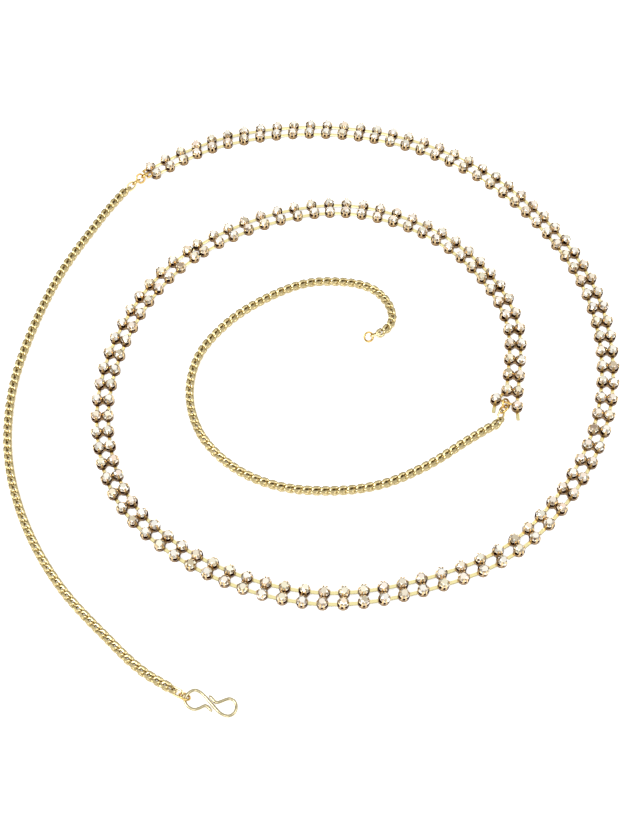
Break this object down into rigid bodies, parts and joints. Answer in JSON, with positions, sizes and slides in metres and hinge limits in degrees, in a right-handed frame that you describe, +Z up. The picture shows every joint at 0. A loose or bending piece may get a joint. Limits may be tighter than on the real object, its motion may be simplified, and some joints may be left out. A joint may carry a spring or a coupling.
{
  "type": "waist chain",
  "caption": "Waist chain of stone cups in pairs joined by flat bars, with a plain curb chain at each end, an S hook and a plain end ring.",
  "frame": {"origin": "middle of the laid out chain, on the surface that it lies on", "axes": "+Z up from that surface, +X to the right and +Y away from a viewer who has the hook's end nearest"},
  "size_m": [0.1786, 0.2049, 0.0029],
  "materials": {
    "cups": "polished gold plate, darker between the claws",
    "stones": "clear cut glass with a pale champagne tint",
    "chain": "polished yellow gold plate",
    "rings": "polished gold plate",
    "hook": "pale polished gold plate"
  },
  "bodies": {
    "root": {"s_hook": "hook", "hook_ring": "rings", "outer_chain_hook_link": "chain", "outer_curb_chain_finish": "chain", "outer_curb_chain_start": "chain", "outer_chain_join_link": "chain", "outer_join_ring_1": "rings", "outer_join_ring_2": "rings", "outer_join_ring_3": "rings", "cup_chain_outer": "cups", "cup_chain_inner": "cups", "end_pair": "cups", "inner_join_ring_1": "rings", "inner_join_ring_2": "rings", "inner_chain_join_link": "chain", "inner_curb_chain": "chain", "inner_chain_end_link": "chain", "end_ring": "rings"}
  },
  "joints": []
}
